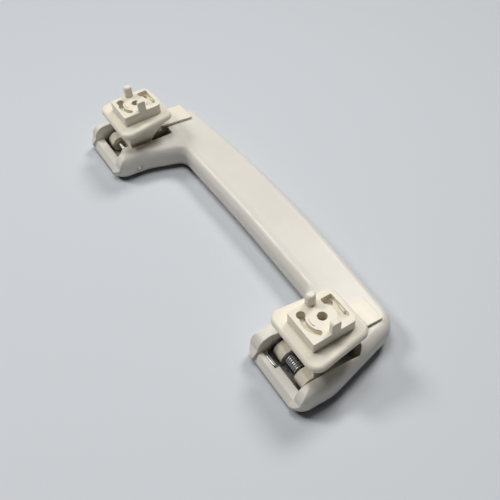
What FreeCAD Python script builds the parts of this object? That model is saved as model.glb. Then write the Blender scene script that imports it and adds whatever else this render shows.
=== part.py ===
import FreeCAD, Part
import math
import os

import Sketcher

doc = FreeCAD.newDocument("RoofGrabHandle")
sheet = doc.addObject("Spreadsheet::Sheet", "Sizes")

# Driving sizes in millimetres and degrees
# X runs along the grip, Y from the hinges to the grip, Z from the cabin face to the roof
SIZES = [
    ("bracket_spacing", 202.0, "between the two screw holes"),
    ("hinge_setback", 23.66, "from the middle of the depth back to the hinge line"),
    ("hinge_height", 7.0, "hinge line above the cabin face"),
    ("rest_tilt", 5.0, "lean of a closed bracket, degrees"),
    ("back_height", 17.0, "back of the handle above its cabin face"),
    ("grip_outer_y", 65.6, "hinge line to where the grip's outer edges would meet"),
    ("grip_inner_y", 30.9, "hinge line to where the grip's inner edges would meet"),
    ("grip_outer_bow", 800.0, "radius of the grip's outer edge"),
    ("grip_inner_bow", 1200.0, "radius of the grip's inner edge"),
    ("elbow_outer_x", 10.0, "outer elbow outboard of the screw hole"),
    ("elbow_outer_y", 57.6, "hinge line to the outer elbow"),
    ("elbow_outer_radius", 15.0, "outer elbow"),
    ("elbow_inner_x", 30.5, "inner elbow inboard of the screw hole"),
    ("elbow_inner_y", 29.6, "hinge line to the inner elbow"),
    ("elbow_inner_radius", 6.0, "inner elbow"),
    ("arm_outer_x", 23.4, "arm's outer side outboard of the screw hole"),
    ("arm_inner_x", 24.5, "arm's inner side inboard of the screw hole"),
    ("arm_bend_y", 7.0, "hinge line to where the arm starts to splay"),
    ("arm_bend_radius", 34.0, "bend where the arm starts to splay"),
    ("arm_end_y", 16.2, "hinge line to the end of the arm"),
    ("arm_corner_radius", 9.0, "end corners of the arm, seen from the roof"),
    ("nose_height", 5.0, "end face of the arm"),
    ("sill_height", 7.2, "low end wall that the bracket swings over"),
    ("sill_edge_y", 12.7, "hinge line to the sill's outer edge"),
    ("sill_foot_y", 14.9, "hinge line to the foot of the sill's sloping face"),
    ("sill_foot_height", 2.8, "foot of the sill's sloping face"),
    ("cheek_end_y", 12.8, "hinge line to the end of the side walls"),
    ("cheek_radius", 7.6, "rounded end of the side walls"),
    ("shoulder_radius", 2.0, "where a side wall meets the arm's end"),
    ("back_round", 6.3, "rounding of the back's edges"),
    ("cabin_round", 6.8, "rounding of the cabin face's edges"),
    ("pocket_outer_x", 16.2, "pocket's outboard side from the screw hole"),
    ("pocket_inner_x", 15.6, "pocket's inboard side at the sill"),
    ("pocket_inner_end_x", 13.4, "pocket's inboard side at the grip"),
    ("pocket_back_y", 7.5, "hinge line to the sill"),
    ("pocket_end_y", 30.6, "hinge line to the pocket's grip end"),
    ("pocket_chamfer_y", 26.6, "where the pocket's outboard corner starts"),
    ("pocket_chamfer_x", 12.4, "where the pocket's outboard corner ends"),
    ("pocket_corner_radius", 1.8, "pocket corners"),
    ("rib_x", 4.2, "rib at the pocket's end, side nearer the arm's middle"),
    ("rib_thick", 1.6, "rib at the pocket's end"),
    ("rib_start_y", 19.0, "rib at the pocket's end, where it starts"),
    ("rib_top_z", 14.0, "top of the rib"),
    ("cabin_wall", 1.4, "wall between the pocket and the cabin face"),
    ("notch_outer_x", 3.7, "end of the sill's notch for the spring's leg"),
    ("notch_width", 2.6, "notch in the sill, back from the pocket"),
    ("notch_depth", 2.0, "notch in the sill, down from its top"),
    ("pin_radius", 2.0, "steel hinge pin"),
    ("pin_blind_depth", 3.6, "pin's blind seat in the outboard wall"),
    ("pin_chamfer", 0.4, "edge of the pin's ends"),
    ("pin_sunk", 0.2, "pin's open end below the arm's side"),
    ("pin_clearance", 0.06, "running fit of the bracket on its pin"),
    ("knuckle_radius", 5.15, "hinge knuckle of the bracket"),
    ("knuckle_outer_x", 12.9, "outer face of a knuckle from the screw hole"),
    ("spring_bay", 11.2, "gap between the two knuckles"),
    ("bay_radius", 5.9, "relief round the spring"),
    ("block_front_y", 1.4, "hinge line to the front of the bracket's block"),
    ("block_heel_y", 19.2, "hinge line to the block's lower corner"),
    ("block_toe_y", 31.5, "hinge line to the block's upper corner"),
    ("plate_gap", 11.3, "plate above the back of the arms, square to it"),
    ("plate_thick", 3.0, "mounting plate"),
    ("plate_front_y", 4.2, "hinge line to the plate's front edge"),
    ("plate_length", 37.4, "plate from front to grip side"),
    ("plate_front_half", 20.9, "half width of the plate at the front"),
    ("plate_end_half", 16.2, "half width of the plate at the grip side"),
    ("plate_corner_radius", 6.0, "plate corners"),
    ("plate_round", 2.2, "rounded upper edge of the plate"),
    ("boss_half", 11.0, "half width of the boss"),
    ("boss_length", 25.9, "boss from front to grip side"),
    ("boss_height", 6.7, "boss above the plate"),
    ("boss_corner_radius", 3.0, "boss corners at the grip side"),
    ("boss_front_radius", 0.8, "boss corners at the front"),
    ("hole_y", 14.9, "hinge line to the screw hole"),
    ("hole_radius", 2.55, "screw hole"),
    ("well_radius", 5.5, "well for the screw's head"),
    ("seat_thick", 7.0, "from the bottom of the well to the top of the boss"),
    ("post_height", 7.0, "locating posts above the boss"),
    ("post_width", 5.0, "locating post along Y"),
    ("post_depth", 3.8, "locating post along X"),
    ("post_round", 2.2, "inner side of a locating post"),
    ("post_lead", 0.8, "sloping edge round the inner side of a post's top"),
    ("hub_radius", 7.4, "raised hub round the screw hole"),
    ("slot_inner_radius", 8.2, "curved slot, inner side"),
    ("slot_outer_radius", 11.0, "curved slot, outer side"),
    ("slot_start", 228, "where the curved slot begins, counted round the screw's hole"),
    ("slot_sweep", 87, "how far round the curved slot goes"),
    ("slot_end_radius", 1.5, "rounded far end of the curved slot"),
    ("line_radius", 6.4, "thin raised line between the hole and the slot"),
    ("line_width", 0.6, "thin raised line"),
    ("line_height", 0.4, "thin raised line above the boss"),
    ("line_lag", 19, "how far round from the slot's start the raised line begins"),
    ("line_sweep", 44, "how far round the raised line goes"),
    ("slot_depth", 3.2, "curved slot"),
    ("recess_depth", 3.0, "recess at the boss's grip side"),
    ("recess_edge", 1.6, "wall left beside the recess"),
    ("recess_reach", 1.0, "recess past its deep end and past the hub"),
    ("recess_corner", 0.6, "recess corners"),
    ("recess_far_corner", 1.4, "recess corner away from its deep end"),
    ("ledge_width", 0.7, "step along the recess's outer wall"),
    ("ledge_drop", 1.1, "step below the top of the boss"),
    ("ledge_start_x", 1.6, "step from the hole towards the deep end"),
    ("ledge_end_x", 3.2, "step from the hole the other way"),
    ("key_depth", 5.4, "deep ends of the slot and the recess"),
    ("key_radius", 2.3, "deep ends of the slot and the recess"),
    ("key_x", 6.1, "deep ends inboard of the screw hole"),
    ("slot_key_y", 8.1, "deep end of the slot in front of the hole"),
    ("recess_key_y", 8.3, "deep end of the recess behind the hole"),
    ("tongue_tip_y", 50.3, "hinge line to the tip of the stop tongue"),
    ("tongue_play", 0.12, "tongue's tip above the back of the arms"),
    ("tongue_root", 1.2, "how far the tongue's root reaches into the block"),
    ("tongue_rise", 4.1, "rise of the tongue from tip to root"),
    ("tongue_thick", 1.4, "stop tongue"),
    ("tongue_inner_x", 10.6, "tongue's edge on one side of the screw hole"),
    ("tongue_outer_x", 5.7, "tongue's edge on the other side"),
    ("coil_radius", 3.75, "spring wire's centre from the hinge line"),
    ("wire_radius", 0.56, "spring wire"),
    ("wire_flats", 6, "flats that stand for the wire's round section"),
    ("coil_pitch", 1.2, "one turn of the spring"),
    ("coil_turns", 7.0, "whole turns of the spring between its legs"),
    ("leg_bend", 1.4, "from the corner of a spring leg to where its bend starts"),
    ("leg_play", 0.3, "gap between a spring leg and what it bears on"),
    ("leg_groove_width", 2.6, "groove in the bracket for the spring's leg"),
    ("leg_groove_play", 1.5, "groove beyond the leg's tip"),
    ("front_leg_length", 9.2, "spring leg along the sill"),
    ("rear_leg_length", 9.0, "spring leg up the bracket"),
    ("overlap", 1.0, "how far a joined or cut shape reaches past its face"),
]


class Size:
    """A size as its number and as the expression that the document keeps."""

    def __init__(self, number, text):
        self.number = number
        self.text = text

    def join(self, sign, other, number):
        return Size(number, "(" + self.text + " " + sign + " " + other.text + ")")

    def __add__(self, other):
        other = as_size(other)
        return self.join("+", other, self.number + other.number)

    def __sub__(self, other):
        other = as_size(other)
        return self.join("-", other, self.number - other.number)

    def __mul__(self, other):
        other = as_size(other)
        return self.join("*", other, self.number * other.number)

    def __truediv__(self, other):
        other = as_size(other)
        return self.join("/", other, self.number / other.number)

    def __neg__(self):
        return as_size(0) - self


def as_size(value):
    if isinstance(value, Size):
        return value
    return Size(float(value), "(" + repr(float(value)) + ")")


size = {}
for row, (alias, number, meaning) in enumerate(SIZES, start=1):
    sheet.set("A%d" % row, alias)
    sheet.set("B%d" % row, str(number))
    sheet.set("C%d" % row, meaning)
    sheet.setAlias("B%d" % row, alias)
    size[alias] = Size(number, "Sizes." + alias)
doc.recompute()


def sine(turn):
    return Size(math.sin(math.radians(as_size(turn).number)), "sin((%s) * 1 deg)" % as_size(turn).text)


def cosine(turn):
    return Size(math.cos(math.radians(as_size(turn).number)), "cos((%s) * 1 deg)" % as_size(turn).text)


def bind(thing, **properties):
    """Ties properties of a document object to the sheet."""
    for name, value in properties.items():
        thing.setExpression(name, as_size(value).text)


def new_sketch(body, name, plane, offset):
    """A sketch on one of the body's own origin planes, moved along its normal."""
    sketch = body.newObject("Sketcher::SketchObject", name)
    role = next(item for item in body.Origin.OriginFeatures if item.Role == plane)
    sketch.AttachmentSupport = [(role, "")]
    sketch.MapMode = "FlatFace"
    sketch.AttachmentOffset = FreeCAD.Placement(FreeCAD.Vector(0, 0, as_size(offset).number), FreeCAD.Rotation())
    sketch.setExpression(".AttachmentOffset.Base.z", as_size(offset).text)
    return sketch


def fix(sketch, kind, name, value, *where):
    """Adds one dimension and ties it to the sheet."""
    index = sketch.addConstraint(Sketcher.Constraint(kind, *where, as_size(value).number))
    sketch.renameConstraint(index, name)
    sketch.setExpression("Constraints." + name, as_size(value).text)


def fix_point(sketch, name, geometry, position, x, y):
    fix(sketch, "DistanceX", name + "_x", x, -1, 1, geometry, position)
    fix(sketch, "DistanceY", name + "_y", y, -1, 1, geometry, position)


def draw_outline(body, name, plane, offset, corners):
    """Closed outline through corners given as (x, y) or, where it is rounded, (x, y, radius)."""
    sketch = new_sketch(body, name, plane, offset)
    count = len(corners)
    spots = [FreeCAD.Vector(as_size(c[0]).number, as_size(c[1]).number, 0) for c in corners]
    radii = [as_size(c[2]) if len(c) > 2 else None for c in corners]
    leaving = []
    reaching = []
    for index, spot in enumerate(spots):
        before = (spots[index - 1] - spot).normalize()
        after = (spots[(index + 1) % count] - spot).normalize()
        trim = 0.0
        if radii[index]:
            trim = radii[index].number / math.tan(before.getAngle(after) / 2)
        reaching.append(spot + before * trim)
        leaving.append(spot + after * trim)
    for index in range(count):
        sketch.addGeometry(Part.LineSegment(leaving[index], reaching[(index + 1) % count]), False)
    for index, spot in enumerate(spots):
        before_line = (index - 1) % count
        mark = sketch.addGeometry(Part.Point(spot), True)
        fix_point(sketch, "corner%d" % index, mark, 1, corners[index][0], corners[index][1])
        if not radii[index]:
            sketch.addConstraint(Sketcher.Constraint("Coincident", before_line, 2, mark, 1))
            sketch.addConstraint(Sketcher.Constraint("Coincident", index, 1, mark, 1))
            continue
        before = (spots[index - 1] - spot).normalize()
        after = (spots[(index + 1) % count] - spot).normalize()
        half_angle = before.getAngle(after) / 2
        reach = radii[index].number / math.sin(half_angle)
        centre = spot + (before + after).normalize() * reach
        arrive = reaching[index] - centre
        leave = leaving[index] - centre
        forward = arrive.cross(leave).z > 0
        begin, finish = (arrive, leave) if forward else (leave, arrive)
        first, last = (1, 2) if forward else (2, 1)
        circle = Part.Circle(centre, FreeCAD.Vector(0, 0, 1), radii[index].number)
        turn = Part.ArcOfCircle(circle, math.atan2(begin.y, begin.x), math.atan2(finish.y, finish.x))
        arc = sketch.addGeometry(turn, False)
        sketch.addConstraint(Sketcher.Constraint("PointOnObject", mark, 1, before_line))
        sketch.addConstraint(Sketcher.Constraint("PointOnObject", mark, 1, index))
        sketch.addConstraint(Sketcher.Constraint("Tangent", before_line, 2, arc, first))
        sketch.addConstraint(Sketcher.Constraint("Tangent", arc, last, index, 1))
        fix(sketch, "Radius", "round%d" % index, radii[index], arc)
    return sketch


def draw_circle(body, name, plane, offset, x, y, radius):
    sketch = new_sketch(body, name, plane, offset)
    middle = FreeCAD.Vector(as_size(x).number, as_size(y).number, 0)
    sketch.addGeometry(Part.Circle(middle, FreeCAD.Vector(0, 0, 1), as_size(radius).number), False)
    fix_point(sketch, "middle", 0, 3, x, y)
    fix(sketch, "Radius", "radius", radius, 0)
    return sketch


def draw_sector(body, name, plane, offset, x, y, inner, outer, start, sweep):
    """Part of a ring round (x, y), from the angle start through sweep degrees."""
    sketch = new_sketch(body, name, plane, offset)
    middle = FreeCAD.Vector(as_size(x).number, as_size(y).number, 0)
    up = FreeCAD.Vector(0, 0, 1)
    turns = [as_size(start), as_size(start) + sweep]
    angles = [math.radians(turn.number) for turn in turns]
    radii = [as_size(inner), as_size(outer)]
    for radius in radii:
        circle = Part.Circle(middle, up, radius.number)
        sketch.addGeometry(Part.ArcOfCircle(circle, angles[0], angles[1]), False)
    for angle in angles:
        out = FreeCAD.Vector(math.cos(angle), math.sin(angle), 0)
        sketch.addGeometry(Part.LineSegment(middle + out * radii[0].number, middle + out * radii[1].number), False)
    for line, end in ((2, 1), (3, 2)):
        sketch.addConstraint(Sketcher.Constraint("Coincident", line, 1, 0, end))
        sketch.addConstraint(Sketcher.Constraint("Coincident", line, 2, 1, end))
    for arc, radius in enumerate(radii):
        for end, turn in ((1, turns[0]), (2, turns[1])):
            label = "arc%d_end%d" % (arc, end)
            fix_point(sketch, label, arc, end, as_size(x) + radius * cosine(turn), as_size(y) + radius * sine(turn))
        fix(sketch, "Radius", "radius%d" % arc, radius, arc)
    return sketch


def grow(body, sketch, name, length):
    pad = body.newObject("PartDesign::Pad", name)
    pad.Profile = sketch
    bind(pad, Length=length)
    doc.recompute()
    return pad


def cut(body, sketch, name, length):
    """Cuts along the sketch's normal and makes sure that something was removed."""
    before = body.Shape.Volume
    pocket = body.newObject("PartDesign::Pocket", name)
    pocket.Profile = sketch
    pocket.Reversed = True
    bind(pocket, Length=length)
    doc.recompute()
    if body.Shape.Volume > before - 1e-3:
        raise RuntimeError(name + " cuts nothing")
    return pocket


def round_edges(body, name, radius, chosen):
    """Fillets the edges of the body's last feature that the test picks."""
    base = body.Tip
    edges = ["Edge%d" % (number + 1) for number, edge in enumerate(base.Shape.Edges) if chosen(edge)]
    fillet = body.newObject("PartDesign::Fillet", name)
    fillet.Base = (base, edges)
    bind(fillet, Radius=radius)
    doc.recompute()
    return fillet


def slope_edges(body, name, width, chosen):
    """Chamfers the edges of the body's last feature that the test picks."""
    base = body.Tip
    edges = ["Edge%d" % (number + 1) for number, edge in enumerate(base.Shape.Edges) if chosen(edge)]
    chamfer = body.newObject("PartDesign::Chamfer", name)
    chamfer.Base = (base, edges)
    bind(chamfer, Size=width)
    doc.recompute()
    return chamfer


def at_height(height):
    """Test for an edge that lies wholly in the plane at a height."""
    level = as_size(height).number
    return lambda edge: abs(edge.BoundBox.ZMin - level) < 1e-4 and abs(edge.BoundBox.ZMax - level) < 1e-4


def lies_beyond(edge, x):
    """Whether an edge lies wholly in the plane at x on either side."""
    return min(abs(edge.BoundBox.XMin), abs(edge.BoundBox.XMax)) > x


half_spacing = size["bracket_spacing"] / 2
overlap = size["overlap"]
plate_under = size["back_height"] - size["hinge_height"] + size["plate_gap"]
KNUCKLE_HEEL = math.sqrt(0.5)


# Handle: one moulding with a bowed grip, two splayed arms and a pocket in each arm
def handle_outline():
    """Corners of the handle seen from the roof, from the middle of the grip round one arm and back."""
    right = [
        (half_spacing + size["elbow_outer_x"], size["elbow_outer_y"], size["elbow_outer_radius"]),
        (half_spacing + size["arm_outer_x"], size["arm_bend_y"], size["arm_bend_radius"]),
        (half_spacing + size["arm_outer_x"], -size["arm_end_y"], size["arm_corner_radius"]),
        (half_spacing - size["arm_inner_x"], -size["arm_end_y"], size["arm_corner_radius"]),
        (half_spacing - size["arm_inner_x"], size["arm_bend_y"], size["arm_bend_radius"]),
        (half_spacing - size["elbow_inner_x"], size["elbow_inner_y"], size["elbow_inner_radius"]),
    ]
    left = [(-x, y, radius) for x, y, radius in reversed(right)]
    outer_middle = (0, size["grip_outer_y"], size["grip_outer_bow"])
    inner_middle = (0, size["grip_inner_y"], size["grip_inner_bow"])
    return [outer_middle] + right + [inner_middle] + left


def end_profile():
    """What is cut from an arm's end, seen from the side, so that the bracket can swing over the sill."""
    beyond = size["arm_end_y"] + size["cheek_radius"]
    over = size["back_height"] + size["cheek_radius"]
    shoulder = size["sill_height"] + (size["arm_end_y"] - size["cheek_end_y"]) / 2
    return [
        (-beyond, size["nose_height"]),
        (-size["arm_end_y"], size["nose_height"]),
        (-size["cheek_end_y"], shoulder, size["shoulder_radius"]),
        (-size["cheek_end_y"], size["back_height"], size["cheek_radius"]),
        (0, size["back_height"]),
        (0, over),
        (-beyond, over),
    ]


def cut_pocket(body, side, label):
    """Opens the pocket of one arm, its mouth over the sill and the bore for the hinge pin."""
    centre = half_spacing * side
    mouth_end = size["pocket_corner_radius"] * 2 - size["pocket_back_y"]

    def across(x):
        return centre + x * side

    pocket = draw_outline(body, label + "PocketPlan", "XY_Plane", size["cabin_wall"], [
        (across(-size["pocket_inner_x"]), -size["pocket_back_y"], size["pocket_corner_radius"]),
        (across(size["pocket_outer_x"]), -size["pocket_back_y"], size["pocket_corner_radius"]),
        (across(size["pocket_outer_x"]), size["pocket_chamfer_y"], size["pocket_corner_radius"]),
        (across(size["pocket_chamfer_x"]), size["pocket_end_y"], size["pocket_corner_radius"]),
        (across(-size["pocket_inner_end_x"]), size["pocket_end_y"], size["pocket_corner_radius"]),
    ])
    cut(body, pocket, label + "Pocket", size["back_height"])
    mouth = draw_outline(body, label + "MouthPlan", "XY_Plane", size["sill_height"], [
        (across(-size["pocket_inner_x"]), -size["arm_end_y"] - size["cabin_wall"]),
        (across(size["pocket_outer_x"]), -size["arm_end_y"] - size["cabin_wall"]),
        (across(size["pocket_outer_x"]), mouth_end),
        (across(-size["pocket_inner_x"]), mouth_end),
    ])
    cut(body, mouth, label + "Mouth", size["back_height"])
    beyond = size["arm_end_y"] + overlap
    first_side = across(-size["pocket_inner_x"]) if side > 0 else across(size["pocket_outer_x"])
    sill_face = draw_outline(body, label + "SillProfile", "YZ_Plane", first_side, [
        (-size["sill_edge_y"], size["sill_height"]),
        (-size["sill_foot_y"], size["sill_foot_height"]),
        (-beyond, size["sill_foot_height"]),
        (-beyond, size["sill_height"] + overlap),
        (-size["sill_edge_y"], size["sill_height"] + overlap),
    ])
    cut(body, sill_face, label + "SillFace", size["pocket_inner_x"] + size["pocket_outer_x"])
    blind_end = size["pocket_outer_x"] + size["pin_blind_depth"]
    open_end = size["arm_inner_x"] + overlap
    start = across(-open_end) if side > 0 else across(blind_end)
    bore = draw_circle(body, label + "BoreCircle", "YZ_Plane", start, 0, size["hinge_height"], size["pin_radius"])
    cut(body, bore, label + "Bore", open_end + blind_end)


def build_handle():
    """The handle: a rounded bow, its ends lowered and both arms opened from the back."""
    body = doc.addObject("PartDesign::Body", "handle_body")
    outline = draw_outline(body, "PlanOutline", "XY_Plane", 0, handle_outline())
    grow(body, outline, "Plan", size["back_height"])
    round_edges(body, "BackRound", size["back_round"], at_height(size["back_height"]))
    round_edges(body, "CabinRound", size["cabin_round"], at_height(0))
    reach = half_spacing + size["arm_outer_x"] + size["arm_corner_radius"]
    ends = draw_outline(body, "EndProfile", "YZ_Plane", -reach, end_profile())
    cut(body, ends, "EndCut", reach * 2)
    for side, label in ((1, "Front"), (-1, "Rear")):
        cut_pocket(body, side, label)
    for side, label in ((1, "Front"), (-1, "Rear")):
        near_edge = half_spacing * side + size["rib_x"]
        rib = draw_outline(body, label + "RibPlan", "XY_Plane", size["cabin_wall"] / 2, [
            (near_edge, size["rib_start_y"]),
            (near_edge + size["rib_thick"], size["rib_start_y"]),
            (near_edge + size["rib_thick"], size["pocket_end_y"] + size["cabin_wall"]),
            (near_edge, size["pocket_end_y"] + size["cabin_wall"]),
        ])
        grow(body, rib, label + "Rib", size["rib_top_z"] - size["cabin_wall"] / 2)
    notch_back = -size["pocket_back_y"] - size["notch_width"]
    notch = draw_outline(body, "NotchPlan", "XY_Plane", size["sill_height"] - size["notch_depth"], [
        (half_spacing - size["pocket_inner_x"], notch_back),
        (half_spacing - size["notch_outer_x"], notch_back),
        (half_spacing - size["notch_outer_x"], overlap - size["pocket_back_y"]),
        (half_spacing - size["pocket_inner_x"], overlap - size["pocket_back_y"]),
    ])
    cut(body, notch, "Notch", size["notch_depth"] + overlap)
    body.Placement.Base = FreeCAD.Vector(0, -size["hinge_setback"].number, 0)
    return body


# Brackets: one moulding each, with a boss, a plate, a block with two knuckles and a stop tongue
def add_plate_and_block(body):
    under = plate_under
    end_y = size["plate_length"] - size["plate_front_y"]
    corner = size["plate_corner_radius"]
    plate = draw_outline(body, "PlatePlan", "XY_Plane", under, [
        (-size["plate_front_half"], -size["plate_front_y"], corner),
        (size["plate_front_half"], -size["plate_front_y"], corner),
        (size["plate_end_half"], end_y, corner),
        (-size["plate_end_half"], end_y, corner),
    ])
    grow(body, plate, "Plate", size["plate_thick"])
    round_edges(body, "PlateRound", size["plate_round"], at_height(under + size["plate_thick"]))
    heel = size["knuckle_radius"] * KNUCKLE_HEEL
    block = draw_outline(body, "BlockProfile", "YZ_Plane", -size["knuckle_outer_x"], [
        (size["block_front_y"], under + overlap),
        (size["block_front_y"], 0),
        (heel, -heel),
        (size["block_heel_y"], size["block_heel_y"] - heel * 2),
        (size["block_toe_y"], under),
        (size["block_toe_y"], under + overlap),
    ])
    grow(body, block, "Block", size["knuckle_outer_x"] * 2)
    barrel = draw_circle(body, "KnuckleCircle", "YZ_Plane", -size["knuckle_outer_x"], 0, 0, size["knuckle_radius"])
    grow(body, barrel, "Knuckles", size["knuckle_outer_x"] * 2)
    bay = draw_circle(body, "BayCircle", "YZ_Plane", -size["spring_bay"] / 2, 0, 0, size["bay_radius"])
    cut(body, bay, "SpringBay", size["spring_bay"])


def add_tongue(body):
    """The stop: its tip lies on the back of the arm when the handle is up."""
    tip_y = size["tongue_tip_y"]
    above = size["back_height"] - size["hinge_height"] + size["tongue_play"]
    tip_under = above / cosine(size["rest_tilt"]) - tip_y * sine(size["rest_tilt"]) / cosine(size["rest_tilt"])
    tip_z = tip_under + size["tongue_thick"]
    root_z = tip_z + size["tongue_rise"]
    block_face_y = root_z - size["tongue_thick"] + size["knuckle_radius"] * KNUCKLE_HEEL * 2
    root_y = block_face_y - size["tongue_root"]
    tongue = draw_outline(body, "TongueProfile", "YZ_Plane", -size["tongue_inner_x"], [
        (root_y, root_z),
        (tip_y, tip_z),
        (tip_y, tip_z - size["tongue_thick"]),
        (root_y, root_z - size["tongue_thick"]),
    ])
    grow(body, tongue, "Tongue", size["tongue_inner_x"] + size["tongue_outer_x"])


def add_boss(body):
    """The boss that fills the roof's opening, with its posts, curved slot and stepped recess."""
    foot = plate_under + size["plate_thick"]
    top = foot + size["boss_height"]
    half = size["boss_half"]
    middle = size["hole_y"]
    front = middle - size["boss_length"] / 2
    back = middle + size["boss_length"] / 2
    boss = draw_outline(body, "BossPlan", "XY_Plane", foot - overlap, [
        (-half, front, size["boss_front_radius"]),
        (half, front, size["boss_front_radius"]),
        (half, back, size["boss_corner_radius"]),
        (-half, back, size["boss_corner_radius"]),
    ])
    grow(body, boss, "Boss", size["boss_height"] + overlap)
    recess_floor = top - size["recess_depth"]
    recess_front = middle + size["recess_key_y"] - size["key_radius"] - size["recess_reach"]
    recess_back = back - size["recess_edge"]
    recess_side = size["key_x"] + size["recess_reach"]
    recess = draw_outline(body, "RecessPlan", "XY_Plane", recess_floor, [
        (-size["key_x"] - size["key_radius"], recess_front, size["recess_corner"]),
        (recess_side, recess_front, size["recess_corner"]),
        (recess_side, recess_back, size["recess_far_corner"]),
        (-size["key_x"] - size["key_radius"], recess_back, size["recess_corner"]),
    ])
    cut(body, recess, "Recess", size["recess_depth"] + overlap)
    ledge = draw_outline(body, "LedgePlan", "XY_Plane", recess_floor - overlap / 2, [
        (-size["ledge_start_x"], recess_back - size["ledge_width"]),
        (size["ledge_end_x"], recess_back - size["ledge_width"]),
        (size["ledge_end_x"], recess_back + overlap / 2),
        (-size["ledge_start_x"], recess_back + overlap / 2),
    ])
    grow(body, ledge, "Ledge", size["recess_depth"] - size["ledge_drop"] + overlap / 2)
    hub = draw_circle(body, "HubCircle", "XY_Plane", recess_floor - overlap, 0, middle, size["hub_radius"])
    grow(body, hub, "Hub", size["recess_depth"] + overlap)
    slot = draw_sector(body, "SlotPlan", "XY_Plane", top - size["slot_depth"], 0, middle,
                       size["slot_inner_radius"], size["slot_outer_radius"],
                       size["slot_start"], size["slot_sweep"])
    cut(body, slot, "Slot", size["slot_depth"] + overlap)
    slot_middle = (size["slot_inner_radius"] + size["slot_outer_radius"]) / 2
    slot_stop = size["slot_start"] + size["slot_sweep"]
    slot_end = draw_circle(body, "SlotEndCircle", "XY_Plane", top - size["slot_depth"],
                           slot_middle * cosine(slot_stop), middle + slot_middle * sine(slot_stop),
                           size["slot_end_radius"])
    cut(body, slot_end, "SlotEnd", size["slot_depth"] + overlap)
    line = draw_sector(body, "LinePlan", "XY_Plane", top - overlap, 0, middle,
                       size["line_radius"], size["line_radius"] + size["line_width"],
                       size["slot_start"] + size["line_lag"], size["line_sweep"])
    grow(body, line, "Line", size["line_height"] + overlap)
    keys = (("SlotKey", middle - size["slot_key_y"]), ("RecessKey", middle + size["recess_key_y"]))
    for name, key_y in keys:
        key = draw_circle(body, name + "Circle", "XY_Plane", top - size["key_depth"],
                          -size["key_x"], key_y, size["key_radius"])
        cut(body, key, name, size["key_depth"] + overlap)
    for name, edge in (("InnerPost", -1), ("OuterPost", 1)):
        post = draw_outline(body, name + "Plan", "XY_Plane", top - overlap, [
            (half * edge, middle - size["post_width"] / 2),
            (half * edge, middle + size["post_width"] / 2),
            ((half - size["post_depth"]) * edge, middle + size["post_width"] / 2, size["post_round"]),
            ((half - size["post_depth"]) * edge, middle - size["post_width"] / 2, size["post_round"]),
        ])
        grow(body, post, name, size["post_height"] + overlap)
    post_top = at_height(top + size["post_height"])
    outer = half.number - 1e-4
    slope_edges(body, "PostLead", size["post_lead"], lambda edge: post_top(edge) and not lies_beyond(edge, outer))


def add_holes(body, sprung):
    """The screw's hole and well, the pin's bore and, where there is a spring, the groove for its leg."""
    top = plate_under + size["plate_thick"] + size["boss_height"]
    well_top = top - size["seat_thick"]
    below = size["knuckle_radius"] + overlap
    well = draw_circle(body, "WellCircle", "XY_Plane", -below, 0, size["hole_y"], size["well_radius"])
    cut(body, well, "Well", well_top + below)
    hole = draw_circle(body, "HoleCircle", "XY_Plane", well_top - overlap, 0, size["hole_y"], size["hole_radius"])
    cut(body, hole, "ScrewHole", size["seat_thick"] + overlap * 2)
    bore = draw_circle(body, "BoreCircle", "YZ_Plane", -size["knuckle_outer_x"] - overlap, 0, 0,
                       size["pin_radius"] + size["pin_clearance"])
    cut(body, bore, "PinBore", size["knuckle_outer_x"] * 2 + overlap * 2)
    if sprung:
        bay_end = size["spring_bay"] / 2
        leg_back = size["coil_radius"] + size["wire_radius"] + size["leg_play"]
        groove_side = bay_end - size["leg_groove_width"]
        groove = draw_outline(body, "LegGroovePlan", "XY_Plane", 0, [
            (groove_side, 0),
            (bay_end, 0),
            (bay_end, leg_back),
            (groove_side, leg_back),
        ])
        cut(body, groove, "LegGroove", size["rear_leg_length"] + size["leg_groove_play"])


def build_bracket(label, side, sprung):
    body = doc.addObject("PartDesign::Body", label)
    add_plate_and_block(body)
    add_boss(body)
    add_tongue(body)
    add_holes(body, sprung)
    spot = FreeCAD.Vector(half_spacing.number * side, -size["hinge_setback"].number, size["hinge_height"].number)
    lean = FreeCAD.Rotation(FreeCAD.Vector(1, 0, 0), size["rest_tilt"].number)
    body.Placement = FreeCAD.Placement(spot, lean)
    return body


# Hinge pins: turned steel, pressed in from the open side of the bow
def build_pin(label, side):
    body = doc.addObject("PartDesign::Body", label)
    flush = size["arm_inner_x"] - size["pin_sunk"]
    length = flush + size["pocket_outer_x"] + size["pin_blind_depth"]
    circle = draw_circle(body, "PinCircle", "YZ_Plane", 0, 0, 0, size["pin_radius"])
    grow(body, circle, "Pin", length)
    slope_edges(body, "PinChamfer", size["pin_chamfer"], lambda edge: edge.Curve.TypeId == "Part::GeomCircle")
    start = half_spacing.number * side - flush.number * side
    if side < 0:
        start -= length.number
    spot = FreeCAD.Vector(start, -size["hinge_setback"].number, size["hinge_height"].number)
    body.Placement = FreeCAD.Placement(spot, FreeCAD.Rotation())
    return body


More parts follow.
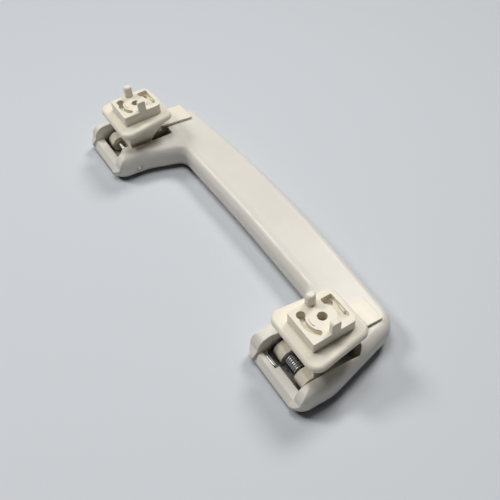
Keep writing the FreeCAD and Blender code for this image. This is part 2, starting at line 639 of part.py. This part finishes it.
# Torsion spring: wound round the front pin, one leg along the sill and one up the bracket
def build_spring(label):
    radius = size["coil_radius"].number
    wire = size["wire_radius"].number
    pitch = size["coil_pitch"].number
    play = size["leg_play"].number
    notch_floor = size["sill_height"].number - size["notch_depth"].number
    leg_y = wire + play - size["pocket_back_y"].number - size["notch_width"].number
    leg_z = notch_floor + wire + play - size["hinge_height"].number
    away = math.hypot(leg_y, leg_z)
    first_angle = math.atan2(leg_z, leg_y) + math.acos(radius / away)
    last_angle = math.radians(size["rest_tilt"].number)
    turns = size["coil_turns"].number + (last_angle - first_angle) / (2 * math.pi) % 1
    length = pitch * turns
    slope = pitch / (2 * math.pi * radius)
    drift = size["rear_leg_length"].number * slope
    start_x = size["spring_bay"].number / 2 - wire - play - drift - length

    def on_coil(angle, x):
        spot = FreeCAD.Vector(x, radius * math.cos(angle), radius * math.sin(angle))
        onward = FreeCAD.Vector(slope, -math.sin(angle), math.cos(angle)).normalize()
        return spot, onward

    coil_start, inward = on_coil(first_angle, start_x)
    coil_end, upward = on_coil(last_angle, start_x + length)
    coil = Part.makeHelix(pitch, length, radius)
    across = FreeCAD.Vector(0, math.cos(first_angle), math.sin(first_angle))
    round_it = FreeCAD.Vector(0, -math.sin(first_angle), math.cos(first_angle))
    turn = FreeCAD.Rotation(across, round_it, FreeCAD.Vector(1, 0, 0), "ZXY")
    coil.Placement = FreeCAD.Placement(FreeCAD.Vector(start_x, 0, 0), turn)
    corner = coil_start - inward * math.sqrt(away ** 2 - radius ** 2)
    bend = size["leg_bend"].number
    outward = FreeCAD.Vector(-1, 0, 0)
    bend_start = corner + inward * bend
    bend_end = corner + outward * bend
    half_turn = inward.getAngle(outward) / 2
    bisector = (inward + outward).normalize()
    bend_radius = bend * math.tan(half_turn)
    bend_mid = corner + bisector * (bend / math.cos(half_turn) - bend_radius)
    leg_end = corner + outward * size["front_leg_length"].number
    top_end = coil_end + upward * size["rear_leg_length"].number
    pieces = [
        Part.LineSegment(leg_end, bend_end).toShape(),
        Part.Arc(bend_end, bend_mid, bend_start).toShape(),
        Part.LineSegment(bend_start, coil_start).toShape(),
    ] + coil.Edges + [Part.LineSegment(coil_end, top_end).toShape()]
    path = Part.Wire(Part.__sortEdges__(pieces))
    flats = int(size["wire_flats"].number)
    spread = math.sqrt(2 * math.pi / flats / math.sin(2 * math.pi / flats)) * wire
    rim = [leg_end + FreeCAD.Vector(0, math.cos(a), math.sin(a)) * spread
           for a in [2 * math.pi * (k + 0.5) / flats for k in range(flats)]]
    section = Part.makePolygon(rim + [rim[0]])
    spring = doc.addObject("Part::Feature", label)
    spring.Shape = path.makePipeShell([section], True, True)
    spot = FreeCAD.Vector(half_spacing.number, -size["hinge_setback"].number, size["hinge_height"].number)
    spring.Placement = FreeCAD.Placement(spot, FreeCAD.Rotation())
    swept = math.pi * wire ** 2 * path.Length
    if abs(spring.Shape.Volume - swept) > swept * 0.02:
        raise RuntimeError("the spring's sweep is broken")
    return spring


nodes = [
    build_handle(),
    build_bracket("front_bracket", 1, True),
    build_bracket("rear_bracket", -1, False),
    build_pin("front_hinge_pin", 1),
    build_pin("rear_hinge_pin", -1),
    build_spring("torsion_spring"),
]
doc.recompute()

failed = [item.Name for item in doc.Objects if "Invalid" in item.State or "Error" in item.State]
if failed:
    raise RuntimeError("failed objects: " + ", ".join(failed))
os.makedirs("parts", exist_ok=True)
for node in nodes:
    if node.Shape.isNull() or not node.Shape.isValid():
        raise RuntimeError("bad shape: " + node.Label)
    node.Shape.exportStep("parts/" + node.Label + ".step")
    box = node.Shape.BoundBox
    print(node.Label, "solids", len(node.Shape.Solids), "volume %.1f" % node.Shape.Volume,
          "x %.2f..%.2f y %.2f..%.2f z %.2f..%.2f" % (box.XMin, box.XMax, box.YMin, box.YMax, box.ZMin, box.ZMax))
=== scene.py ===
import math

import bpy
import numpy as np
from mathutils import Matrix, Vector


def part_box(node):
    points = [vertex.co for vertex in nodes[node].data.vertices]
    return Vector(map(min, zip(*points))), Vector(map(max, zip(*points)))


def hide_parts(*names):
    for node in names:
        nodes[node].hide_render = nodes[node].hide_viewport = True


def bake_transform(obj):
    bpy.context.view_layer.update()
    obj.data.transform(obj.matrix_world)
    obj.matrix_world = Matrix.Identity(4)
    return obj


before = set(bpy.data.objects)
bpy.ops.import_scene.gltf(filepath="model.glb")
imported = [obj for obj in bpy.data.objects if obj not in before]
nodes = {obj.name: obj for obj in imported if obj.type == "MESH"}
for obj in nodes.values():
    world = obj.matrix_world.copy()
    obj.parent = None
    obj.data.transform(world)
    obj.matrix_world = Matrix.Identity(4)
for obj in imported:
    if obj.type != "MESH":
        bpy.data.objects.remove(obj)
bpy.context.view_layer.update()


# Handle
# The bow that a passenger holds: one injection moulding in hard, warm off-white plastic.
# It is a bowed grip with two hollow arms, open towards the roof, and its skin is finely grained.
def link(tree, source, output, target, socket):
    tree.links.new(source.outputs[output], target.inputs[socket])


def add_node(tree, kind, place, **settings):
    made = tree.nodes.new(kind)
    made.location = place
    for name, value in settings.items():
        setattr(made, name, value)
    return made


def make_skin_and_painted_shade():
    """Group for moulded plastic: a slow drift of tone, painted shade that darkens the colour in pockets and
    recesses, a fine grain and the softened corners of a tool.
    """
    group = bpy.data.node_groups.new("Moulded skin and painted shade", "ShaderNodeTree")
    face = group.interface
    for name, kind, value in (
        ("Pale", "NodeSocketColor", (0.8, 0.8, 0.8, 1)),
        ("Dull", "NodeSocketColor", (0.7, 0.7, 0.7, 1)),
        ("Grain Size", "NodeSocketFloat", 0.0005),
        ("Grain Depth", "NodeSocketFloat", 0.00002),
        ("Corner Radius", "NodeSocketFloat", 0.0004),
        ("Sheen Low", "NodeSocketFloat", 0.35),
        ("Sheen High", "NodeSocketFloat", 0.5),
        ("Painted Shade Depth", "NodeSocketFloat", 0.015),
        ("Painted Shade Level", "NodeSocketFloat", 0.4),
    ):
        socket = face.new_socket(name, in_out="INPUT", socket_type=kind)
        socket.default_value = value
    face.new_socket("Colour", in_out="OUTPUT", socket_type="NodeSocketColor")
    face.new_socket("Roughness", in_out="OUTPUT", socket_type="NodeSocketFloat")
    face.new_socket("Normal", in_out="OUTPUT", socket_type="NodeSocketVector")
    given = add_node(group, "NodeGroupInput", (-900, 0))
    place = add_node(group, "ShaderNodeTexCoord", (-900, 300))
    drift = add_node(group, "ShaderNodeTexNoise", (-600, 400))
    drift.inputs["Scale"].default_value = 28
    drift.inputs["Detail"].default_value = 3
    link(group, place, "Object", drift, "Vector")
    tone = add_node(group, "ShaderNodeMapRange", (-400, 400))
    tone.inputs["From Min"].default_value = 0.35
    tone.inputs["From Max"].default_value = 0.65
    link(group, drift, "Fac", tone, "Value")
    colour = add_node(group, "ShaderNodeMix", (-150, 400), data_type="RGBA")
    link(group, tone, "Result", colour, "Factor")
    group.links.new(given.outputs["Pale"], colour.inputs[6])
    group.links.new(given.outputs["Dull"], colour.inputs[7])
    # Painted shade: ambient occlusion darkens the colour in pockets, corners and recesses.
    painted_shade_occlusion = add_node(group, "ShaderNodeAmbientOcclusion", (-150, 700), samples=8)
    group.links.new(given.outputs["Painted Shade Depth"], painted_shade_occlusion.inputs["Distance"])
    painted_shade_mask = add_node(group, "ShaderNodeMapRange", (50, 700), interpolation_type="SMOOTHSTEP")
    painted_shade_mask.inputs["From Min"].default_value = 0.03
    painted_shade_mask.inputs["From Max"].default_value = 0.5
    group.links.new(given.outputs["Painted Shade Level"], painted_shade_mask.inputs["To Min"])
    link(group, painted_shade_occlusion, "AO", painted_shade_mask, "Value")
    colour_with_painted_shade = add_node(group, "ShaderNodeVectorMath", (250, 500), operation="SCALE")
    group.links.new(colour.outputs[2], colour_with_painted_shade.inputs[0])
    group.links.new(painted_shade_mask.outputs["Result"], colour_with_painted_shade.inputs["Scale"])
    size = add_node(group, "ShaderNodeMath", (-700, -100), operation="DIVIDE")
    size.inputs[0].default_value = 1
    group.links.new(given.outputs["Grain Size"], size.inputs[1])
    grain = add_node(group, "ShaderNodeTexVoronoi", (-450, -50), feature="SMOOTH_F1")
    grain.inputs["Smoothness"].default_value = 0.6
    link(group, place, "Object", grain, "Vector")
    group.links.new(size.outputs[0], grain.inputs["Scale"])
    corner = add_node(group, "ShaderNodeBevel", (-450, -400), samples=6)
    link(group, given, "Corner Radius", corner, "Radius")
    bump = add_node(group, "ShaderNodeBump", (-150, -200))
    bump.inputs["Strength"].default_value = 1
    link(group, given, "Grain Depth", bump, "Distance")
    link(group, grain, "Distance", bump, "Height")
    link(group, corner, "Normal", bump, "Normal")
    rub = add_node(group, "ShaderNodeTexNoise", (-450, 150))
    rub.inputs["Scale"].default_value = 95
    rub.inputs["Detail"].default_value = 2
    link(group, place, "Object", rub, "Vector")
    sheen = add_node(group, "ShaderNodeMapRange", (-150, 100))
    sheen.inputs["From Min"].default_value = 0.3
    sheen.inputs["From Max"].default_value = 0.7
    link(group, rub, "Fac", sheen, "Value")
    group.links.new(given.outputs["Sheen Low"], sheen.inputs["To Min"])
    group.links.new(given.outputs["Sheen High"], sheen.inputs["To Max"])
    out = add_node(group, "NodeGroupOutput", (150, 0))
    group.links.new(colour_with_painted_shade.outputs["Vector"], out.inputs["Colour"])
    group.links.new(sheen.outputs["Result"], out.inputs["Roughness"])
    group.links.new(bump.outputs["Normal"], out.inputs["Normal"])
    return group


skin_and_painted_shade = make_skin_and_painted_shade()


def make_plastic(name, pale, dull, grain_size, grain_depth, corner_radius, sheen, painted_shade_level):
    made = bpy.data.materials.new(name)
    made.use_nodes = True
    tree = made.node_tree
    tree.nodes.clear()
    skin_and_painted_shade_node = add_node(tree, "ShaderNodeGroup", (-300, 0), node_tree=skin_and_painted_shade)
    skin_and_painted_shade_node.inputs["Pale"].default_value = (*pale, 1)
    skin_and_painted_shade_node.inputs["Dull"].default_value = (*dull, 1)
    skin_and_painted_shade_node.inputs["Grain Size"].default_value = grain_size
    skin_and_painted_shade_node.inputs["Grain Depth"].default_value = grain_depth
    skin_and_painted_shade_node.inputs["Corner Radius"].default_value = corner_radius
    skin_and_painted_shade_node.inputs["Sheen Low"].default_value = sheen[0]
    skin_and_painted_shade_node.inputs["Sheen High"].default_value = sheen[1]
    # The last input sets how dark the painted shade in hollows gets.
    skin_and_painted_shade_node.inputs["Painted Shade Level"].default_value = painted_shade_level
    shader = add_node(tree, "ShaderNodeBsdfPrincipled", (0, 0))
    shader.inputs["IOR"].default_value = 1.5
    link(tree, skin_and_painted_shade_node, "Colour", shader, "Base Color")
    link(tree, skin_and_painted_shade_node, "Roughness", shader, "Roughness")
    link(tree, skin_and_painted_shade_node, "Normal", shader, "Normal")
    out = add_node(tree, "ShaderNodeOutputMaterial", (300, 0))
    link(tree, shader, "BSDF", out, "Surface")
    return made


def dress(node, material):
    """Gives a carried-over piece its material."""
    slots = nodes[node].data.materials
    slots.clear()
    slots.append(material)


# Painted shade: the handle's pockets and recesses darken strongly, down to 0.06 of the colour.
handle_plastic = make_plastic(
    "Handle plastic",
    pale=(0.76, 0.725, 0.655),
    dull=(0.72, 0.685, 0.615),
    grain_size=0.0007,
    grain_depth=0.00004,
    corner_radius=0.0008,
    sheen=(0.32, 0.42),
    painted_shade_level=0.06,
)
dress("handle_body", handle_plastic)


# Brackets
# The two mouldings that plug into the roof: tougher, creamier plastic with a smoother skin.
# Each is moulded in one piece, with its boss, posts, plate, knuckles and stop tongue.
# Painted shade: the brackets' hollows darken only a little, down to 0.92 of the colour.
bracket_plastic = make_plastic(
    "Bracket plastic",
    pale=(0.86, 0.80, 0.67),
    dull=(0.82, 0.76, 0.63),
    grain_size=0.0004,
    grain_depth=0.00001,
    corner_radius=0.0005,
    sheen=(0.36, 0.5),
    painted_shade_level=0.92,
)
dress("front_bracket", bracket_plastic)
dress("rear_bracket", bracket_plastic)


# Hinge pins
# Bright drawn steel, pressed through the inner wall of each arm and into the blind hole beyond.
# Drawing leaves fine lines along the pin.
def make_drawn_steel(name, bright, dark, roughness, lines):
    made = bpy.data.materials.new(name)
    made.use_nodes = True
    tree = made.node_tree
    tree.nodes.clear()
    place = add_node(tree, "ShaderNodeTexCoord", (-900, 0))
    stretch = add_node(tree, "ShaderNodeMapping", (-700, 0))
    stretch.inputs["Scale"].default_value = (lines * 0.04, lines, lines)
    link(tree, place, "Object", stretch, "Vector")
    streaks = add_node(tree, "ShaderNodeTexNoise", (-500, 0))
    streaks.inputs["Scale"].default_value = 1
    streaks.inputs["Detail"].default_value = 4
    link(tree, stretch, "Vector", streaks, "Vector")
    colours = add_node(tree, "ShaderNodeMix", (-250, 200), data_type="RGBA")
    colours.inputs[6].default_value = (*dark, 1)
    colours.inputs[7].default_value = (*bright, 1)
    link(tree, streaks, "Fac", colours, "Factor")
    rough = add_node(tree, "ShaderNodeMapRange", (-250, 0))
    rough.inputs["To Min"].default_value = roughness[0]
    rough.inputs["To Max"].default_value = roughness[1]
    link(tree, streaks, "Fac", rough, "Value")
    bump = add_node(tree, "ShaderNodeBump", (-250, -250))
    bump.inputs["Distance"].default_value = 0.00002
    bump.inputs["Strength"].default_value = 0.6
    link(tree, streaks, "Fac", bump, "Height")
    shader = add_node(tree, "ShaderNodeBsdfPrincipled", (0, 0))
    shader.inputs["Metallic"].default_value = 1
    tree.links.new(colours.outputs[2], shader.inputs["Base Color"])
    link(tree, rough, "Result", shader, "Roughness")
    link(tree, bump, "Normal", shader, "Normal")
    out = add_node(tree, "ShaderNodeOutputMaterial", (300, 0))
    link(tree, shader, "BSDF", out, "Surface")
    return made


pin_steel = make_drawn_steel(
    "Pin steel", bright=(0.66, 0.65, 0.63), dark=(0.5, 0.49, 0.47), roughness=(0.18, 0.34), lines=2600
)
dress("front_hinge_pin", pin_steel)
dress("rear_hinge_pin", pin_steel)


# Torsion spring
# Dark oiled spring wire wound round the front pin; it lifts the handle back to the roof.
# One leg lies in the notch of the sill and the other stands in a groove of the bracket.
def make_spring_steel():
    """Wire finish: bright where it was drawn through the die and dark in the dried oil, in long streaks."""
    made = bpy.data.materials.new("Spring steel")
    made.use_nodes = True
    tree = made.node_tree
    tree.nodes.clear()
    place = add_node(tree, "ShaderNodeAttribute", (-900, 0), attribute_name="along_wire")
    stretch = add_node(tree, "ShaderNodeMapping", (-700, 0))
    stretch.inputs["Scale"].default_value = (14, 5, 1)
    link(tree, place, "Vector", stretch, "Vector")
    streaks = add_node(tree, "ShaderNodeTexNoise", (-500, 0))
    streaks.inputs["Scale"].default_value = 1
    streaks.inputs["Detail"].default_value = 2
    link(tree, stretch, "Vector", streaks, "Vector")
    colours = add_node(tree, "ShaderNodeMix", (-250, 200), data_type="RGBA")
    colours.inputs[6].default_value = (0.28, 0.275, 0.28, 1)
    colours.inputs[7].default_value = (0.44, 0.435, 0.43, 1)
    link(tree, streaks, "Fac", colours, "Factor")
    rough = add_node(tree, "ShaderNodeMapRange", (-250, 0))
    rough.inputs["To Min"].default_value = 0.2
    rough.inputs["To Max"].default_value = 0.26
    link(tree, streaks, "Fac", rough, "Value")
    bump = add_node(tree, "ShaderNodeBump", (-250, -250))
    bump.inputs["Distance"].default_value = 0.000002
    link(tree, streaks, "Fac", bump, "Height")
    shader = add_node(tree, "ShaderNodeBsdfPrincipled", (0, 0))
    shader.inputs["Metallic"].default_value = 1
    tree.links.new(colours.outputs[2], shader.inputs["Base Color"])
    link(tree, rough, "Result", shader, "Roughness")
    link(tree, bump, "Normal", shader, "Normal")
    out = add_node(tree, "ShaderNodeOutputMaterial", (300, 0))
    link(tree, shader, "BSDF", out, "Surface")
    return made


spring_steel = make_spring_steel()
pin_low, pin_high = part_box("front_hinge_pin")
hinge_y = (pin_low.y + pin_high.y) / 2
hinge_z = (pin_low.z + pin_high.z) / 2
bracket_x = 0.101
coil_radius = 0.00375
wire_radius = 0.00056
coil_pitch = 0.0012
whole_turns = 7
leg_play = 0.0003
leg_bend = 0.0014
bay_half = 0.0056
sill_leg_length = 0.0092
bracket_leg_length = 0.009
rest_tilt = 5
bend_steps = 6
steps_per_turn = 40
wire_sides = 18
notch_back_y = -0.0101
notch_floor_z = -0.0018
sill_leg = Vector((0, notch_back_y + wire_radius + leg_play, notch_floor_z + wire_radius + leg_play))


def coil_point(angle, x):
    return Vector((x, coil_radius * math.cos(angle), coil_radius * math.sin(angle)))


def wire_path():
    """The wire's middle line, from its end on the sill round the coil and up to its end in the bracket."""
    away = math.hypot(sill_leg.y, sill_leg.z)
    first = math.atan2(sill_leg.z, sill_leg.y) + math.acos(coil_radius / away)
    last = math.radians(rest_tilt)
    turns = whole_turns + (last - first) / math.tau % 1
    slope = coil_pitch / (math.tau * coil_radius)
    start_x = bay_half - wire_radius - leg_play - bracket_leg_length * slope - coil_pitch * turns
    inward = Vector((slope, -math.sin(first), math.cos(first))).normalized()
    corner = coil_point(first, start_x) - inward * math.sqrt(away ** 2 - coil_radius ** 2)
    outward = Vector((-1, 0, 0))
    line = [corner + outward * sill_leg_length * part / 6 for part in (6, 5, 4, 3, 2)]
    half = inward.angle(outward) / 2
    radius = leg_bend * math.tan(half)
    middle = corner + (inward + outward).normalized() * leg_bend / math.cos(half)
    across = (corner + outward * leg_bend - middle).normalized()
    along = (corner + inward * leg_bend - middle).normalized()
    spread = across.angle(along)
    for step in range(bend_steps + 1):
        share = step / bend_steps
        first_part = across * math.sin((1 - share) * spread)
        last_part = along * math.sin(share * spread)
        line.append(middle + (first_part + last_part) * radius / math.sin(spread))
    foot = line[-1]
    line += [foot.lerp(coil_point(first, start_x), part / 4) for part in (1, 2, 3)]
    steps = int(turns * steps_per_turn)
    for step in range(steps + 1):
        angle = first + turns * math.tau * step / steps
        line.append(coil_point(angle, start_x + coil_pitch * turns * step / steps))
    upward = Vector((slope, -math.sin(last), math.cos(last))).normalized()
    line += [line[-1] + upward * bracket_leg_length * part / 5 for part in (1, 2, 3, 4, 5)]
    hinge = Vector((bracket_x, hinge_y, hinge_z))
    return [hinge + point for point in line]


def make_wire_tree():
    """Sweeps a round section along the object's own curve and closes its ends."""
    tree = bpy.data.node_groups.new("Spring wire", "GeometryNodeTree")
    face = tree.interface
    face.new_socket("Path", in_out="INPUT", socket_type="NodeSocketGeometry")
    for name, kind, value in (
        ("Wire Radius", "NodeSocketFloat", 0.0005),
        ("Wire Sides", "NodeSocketInt", 16),
        ("Finish", "NodeSocketMaterial", None),
    ):
        socket = face.new_socket(name, in_out="INPUT", socket_type=kind)
        if value is not None:
            socket.default_value = value
    face.new_socket("Wire", in_out="OUTPUT", socket_type="NodeSocketGeometry")
    given = add_node(tree, "NodeGroupInput", (-900, 0))
    along = add_node(tree, "GeometryNodeSplineParameter", (-900, -300))
    keep_along = add_node(tree, "GeometryNodeCaptureAttribute", (-650, 100), domain="POINT")
    keep_along.capture_items.new("FLOAT", "Along")
    tree.links.new(given.outputs["Path"], keep_along.inputs["Geometry"])
    tree.links.new(along.outputs["Factor"], keep_along.inputs["Along"])
    section = add_node(tree, "GeometryNodeCurvePrimitiveCircle", (-900, -100))
    tree.links.new(given.outputs["Wire Sides"], section.inputs["Resolution"])
    tree.links.new(given.outputs["Wire Radius"], section.inputs["Radius"])
    keep_round = add_node(tree, "GeometryNodeCaptureAttribute", (-650, -150), domain="POINT")
    keep_round.capture_items.new("FLOAT", "Round")
    tree.links.new(section.outputs["Curve"], keep_round.inputs["Geometry"])
    tree.links.new(along.outputs["Factor"], keep_round.inputs["Round"])
    sweep = add_node(tree, "GeometryNodeCurveToMesh", (-400, 0))
    sweep.inputs["Fill Caps"].default_value = True
    tree.links.new(keep_along.outputs["Geometry"], sweep.inputs["Curve"])
    tree.links.new(keep_round.outputs["Geometry"], sweep.inputs["Profile Curve"])
    both = add_node(tree, "ShaderNodeCombineXYZ", (-400, -250))
    tree.links.new(keep_along.outputs["Along"], both.inputs["X"])
    tree.links.new(keep_round.outputs["Round"], both.inputs["Y"])
    store = add_node(
        tree, "GeometryNodeStoreNamedAttribute", (-150, 0), data_type="FLOAT_VECTOR", domain="POINT"
    )
    store.inputs["Name"].default_value = "along_wire"
    tree.links.new(sweep.outputs["Mesh"], store.inputs["Geometry"])
    tree.links.new(both.outputs["Vector"], store.inputs["Value"])
    smooth = add_node(tree, "GeometryNodeSetShadeSmooth", (50, 0))
    tree.links.new(store.outputs["Geometry"], smooth.inputs["Geometry"])
    real = add_node(tree, "GeometryNodeRealizeInstances", (250, 0))
    tree.links.new(smooth.outputs["Geometry"], real.inputs["Geometry"])
    paint = add_node(tree, "GeometryNodeSetMaterial", (450, 0))
    tree.links.new(real.outputs["Geometry"], paint.inputs["Geometry"])
    tree.links.new(given.outputs["Finish"], paint.inputs["Material"])
    out = add_node(tree, "NodeGroupOutput", (650, 0))
    tree.links.new(paint.outputs["Geometry"], out.inputs["Wire"])
    return tree


def bake_shape(worker, name):
    """Turns an object with a node tree into a plain mesh object and removes the worker."""
    bpy.context.view_layer.update()
    seen = worker.evaluated_get(bpy.context.evaluated_depsgraph_get())
    plain = bpy.data.meshes.new_from_object(seen, preserve_all_data_layers=True)
    plain.name = name
    piece = bpy.data.objects.new(name, plain)
    bpy.context.scene.collection.objects.link(piece)
    bpy.data.objects.remove(worker)
    return piece


wire_line = bpy.data.curves.new("spring path", "CURVE")
wire_line.dimensions = "3D"
points = wire_path()
spline = wire_line.splines.new("POLY")
spline.points.add(len(points) - 1)
for spot, point in zip(spline.points, points):
    spot.co = (*point, 1)
worker = bpy.data.objects.new("spring path", wire_line)
bpy.context.scene.collection.objects.link(worker)
sweep_wire = worker.modifiers.new("Spring wire", "NODES")
sweep_wire.node_group = make_wire_tree()
sockets = sweep_wire.node_group.interface.items_tree
inputs = {item.name: item.identifier for item in sockets if item.in_out == "INPUT"}
sweep_wire[inputs["Wire Radius"]] = wire_radius
sweep_wire[inputs["Wire Sides"]] = wire_sides
sweep_wire[inputs["Finish"]] = spring_steel
spring = bake_shape(worker, "spring_wire")
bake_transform(spring)
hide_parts("torsion_spring")


# Floor
# A plain pale grey surface under the handle.
floor_mesh = bpy.data.meshes.new("floor")
reach = 4.0
floor_mesh.from_pydata(
    [(-reach, -reach, 0), (reach, -reach, 0), (reach, reach, 0), (-reach, reach, 0)], [], [(0, 1, 2, 3)]
)
floor = bpy.data.objects.new("floor", floor_mesh)
bpy.context.scene.collection.objects.link(floor)
floor_paint = bpy.data.materials.new("Floor grey")
floor_paint.use_nodes = True
floor_shader = floor_paint.node_tree.nodes["Principled BSDF"]
floor_shader.inputs["Base Color"].default_value = (0.605, 0.63, 0.66, 1)
floor_shader.inputs["Roughness"].default_value = 0.7
floor_mesh.materials.append(floor_paint)


# Light
# Soft daylight from a window and a doorway, and a wide lamp low over the far half of the handle.
# The room that the steel and the eye see is as pale as the floor, but sheds hardly any light.
def add_lamp(name, kind, source, aim, colour, **settings):
    lamp = bpy.data.lights.new(name, kind)
    lamp.color = colour
    for setting, value in settings.items():
        setattr(lamp, setting, value)
    holder = bpy.data.objects.new(name, lamp)
    bpy.context.scene.collection.objects.link(holder)
    holder.location = source
    holder.rotation_euler = (Vector(aim) - Vector(source)).to_track_quat("-Z", "Y").to_euler()


daylight = (1.0, 0.985, 0.96)
add_lamp("window", "SUN", (-0.5, 0.9, 1.1), (0, 0, 0), daylight, energy=1.25, angle=math.radians(16))
add_lamp("doorway", "SUN", (-0.9, -0.8, 1.15), (0, 0, 0), daylight, energy=1.15, angle=math.radians(14))
cool_white = (0.98, 0.985, 1.0)
add_lamp("ceiling", "AREA", (-0.15, -0.05, 0.9), (-0.15, -0.05, 0), cool_white, energy=3.7, size=0.4)
world = bpy.data.worlds.new("room")
world.use_nodes = True
room = world.node_tree
ray = add_node(room, "ShaderNodeLightPath", (-700, 0))
direct = add_node(room, "ShaderNodeMath", (-450, 100), operation="MAXIMUM")
link(room, ray, "Is Camera Ray", direct, 0)
link(room, ray, "Is Glossy Ray", direct, 1)
shown = add_node(room, "ShaderNodeMapRange", (-250, 0))
shown.inputs["To Min"].default_value = 0.01
shown.inputs["To Max"].default_value = 0.55
link(room, direct, "Value", shown, "Value")
air = room.nodes["Background"]
air.inputs["Color"].default_value = (0.93, 0.965, 1.0, 1)
link(room, shown, "Result", air, "Strength")
bpy.context.scene.world = world


# Camera
# A hand-held view from above the front arm, looking back along the grip.
camera = bpy.data.cameras.new("camera")
camera.sensor_fit = "HORIZONTAL"
camera.sensor_width = 36
camera.lens = 46.57
camera.clip_start = 0.01
view = bpy.data.objects.new("camera", camera)
bpy.context.scene.collection.objects.link(view)
forward = Vector((-0.563, 0.385, -0.732)).normalized()
sideways = Vector((0.538, 0.843, 0.030))
sideways = (sideways - forward * sideways.dot(forward)).normalized()
upward = sideways.cross(forward)
turn = Matrix((sideways, upward, -forward)).transposed().to_4x4()
view.matrix_world = Matrix.Translation((0.2353, -0.14646, 0.28357)) @ turn
bpy.context.scene.camera = view
bpy.context.scene.view_settings.view_transform = "Standard"
